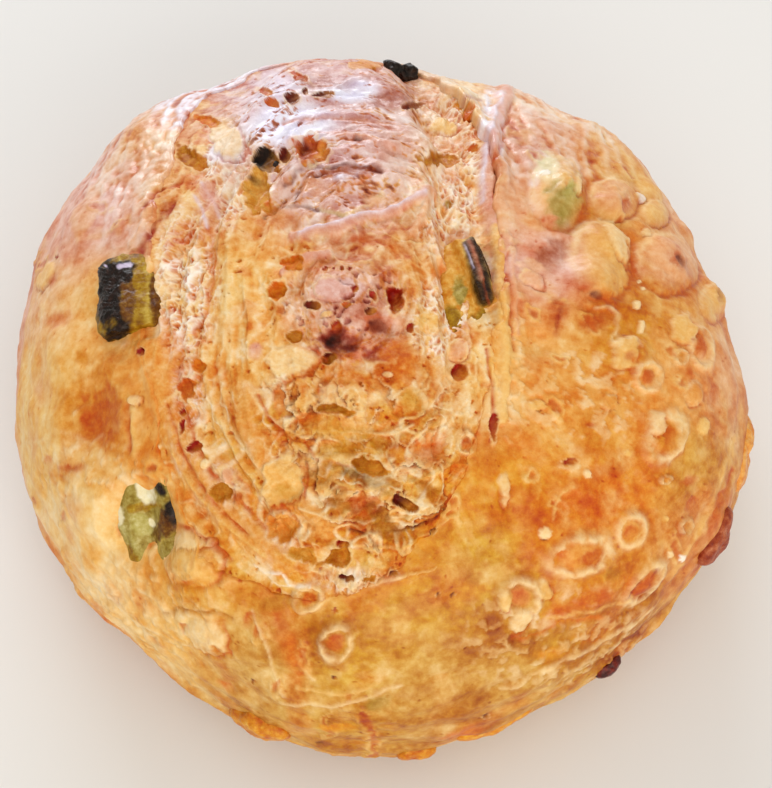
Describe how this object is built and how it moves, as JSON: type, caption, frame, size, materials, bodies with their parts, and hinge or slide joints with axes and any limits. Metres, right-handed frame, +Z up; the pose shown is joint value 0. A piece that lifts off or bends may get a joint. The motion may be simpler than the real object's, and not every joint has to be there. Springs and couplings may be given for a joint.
{
  "type": "sourdough loaf",
  "caption": "Round crusty sourdough loaf, torn open along its top, with melted cheese and charred green pepper baked into the crust.",
  "frame": {"origin": "the middle of the loaf's box, on the flat base that it rests on", "axes": "+Z up out of the crown, -Y towards the front of the loaf, where the tear in the crust ends"},
  "size_m": [0.2201, 0.2222, 0.1115],
  "materials": {
    "crust": "baked bread crust, satin where it is browned",
    "pepper": "moist green pepper flesh",
    "char": "charred pepper skin, glossy",
    "cheese": "melted and browned cheese"
  },
  "bodies": {
    "root": {"loaf": "crust", "pepper_chunk": "pepper", "pepper_slice": "pepper", "pepper_green": "pepper", "pepper_char": "char", "pepper_seed_wall": "char", "cheese_front_left": "cheese", "cheese_front": "cheese", "cheese_front_right": "cheese", "cheese_right_low": "cheese", "cheese_right_fold": "cheese", "cheese_right": "cheese"}
  },
  "joints": []
}
